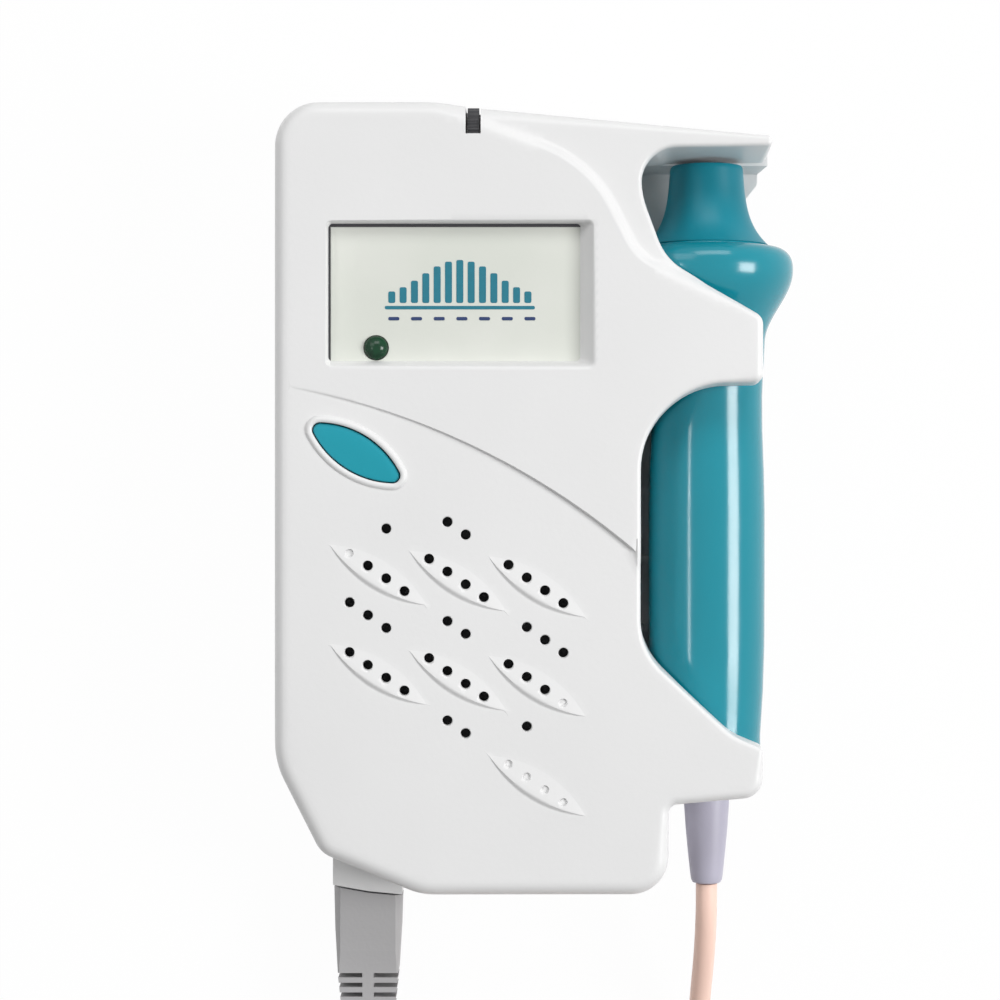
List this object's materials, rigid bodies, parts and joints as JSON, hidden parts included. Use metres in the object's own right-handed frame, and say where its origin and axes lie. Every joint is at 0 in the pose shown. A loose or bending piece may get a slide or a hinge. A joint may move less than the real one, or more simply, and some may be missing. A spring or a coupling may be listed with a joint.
{
  "type": "vascular doppler",
  "caption": "Pocket doppler unit with display, speaker grille, volume wheel and battery door; a pencil probe with cable and plug is docked in a cradle in its side.",
  "frame": {"origin": "on the back face that the unit lies on, under the middle of the unit's height and between its left side and the cradle", "axes": "+X to the right across the front, +Y towards the top end with the jack and the volume wheel, +Z out of the front face"},
  "size_m": [0.0915, 0.2392, 0.0344],
  "materials": {
    "housing": "satin moulded",
    "display": "smooth printed",
    "indicator": "gloss",
    "board": "solder mask",
    "dark_trim": "matte",
    "steel": "plated",
    "teal": "gloss",
    "paper": "pressed paper",
    "magnet": "ferrite",
    "cloth": "fine weave",
    "cells": "plain sleeve",
    "contacts": "gold plated",
    "lens": "smooth",
    "crystal": "ceramic",
    "boot": "satin",
    "cable": "satin",
    "plug": "matte moulded"
  },
  "bodies": {
    "unit": {"front_housing": "housing", "rear_housing": "housing", "display_panel": "display", "led_lens": "indicator", "main_board": "board", "board_chips": "dark_trim", "board_screws": "steel", "power_switch": "dark_trim", "volume_pot": "dark_trim", "headphone_jack": "dark_trim", "speaker_frame": "steel", "speaker_cone": "paper", "speaker_magnet": "magnet", "speaker_cloth": "cloth", "battery_cells": "cells", "battery_springs": "steel", "battery_plates": "steel", "probe_socket": "dark_trim", "socket_contacts": "contacts", "case_screws": "steel", "probe_lead": "cable", "cable_coil": "cable", "plug_lead": "cable"},
    "button": {"power_button": "teal"},
    "wheel": {"volume_wheel": "dark_trim"},
    "door": {"battery_door": "housing"},
    "probe": {"probe_handle": "teal", "probe_nose": "teal", "probe_lens": "lens", "probe_crystals": "crystal", "probe_backing": "dark_trim", "probe_board": "board", "probe_boot": "boot"},
    "plug": {"plug_body": "plug", "plug_shell": "steel", "plug_contacts": "contacts"}
  },
  "joints": [
    {"name": "button_press", "type": "slide", "parent": "unit", "child": "button", "axis": [0, 0, -1], "range_m": [0, 0.0008], "stiffness_N_per_m": 1200},
    {"name": "wheel_turn", "type": "hinge", "parent": "unit", "child": "wheel", "pos_m": [-0.008, 0.0605, 0.025], "axis": [1, 0, 0], "range_deg": [0, 270]},
    {"name": "door_slide", "type": "slide", "parent": "unit", "child": "door", "axis": [0, 1, 0], "range_m": [0, 0.05]},
    {"name": "probe_undock", "type": "slide", "parent": "unit", "child": "probe", "axis": [1, 0, 0], "range_m": [0, 0.034], "deforming": ["probe_lead"]},
    {"name": "plug_pull", "type": "slide", "parent": "unit", "child": "plug", "axis": [0, -1, 0], "range_m": [0, 0.012], "deforming": ["plug_lead"]}
  ]
}
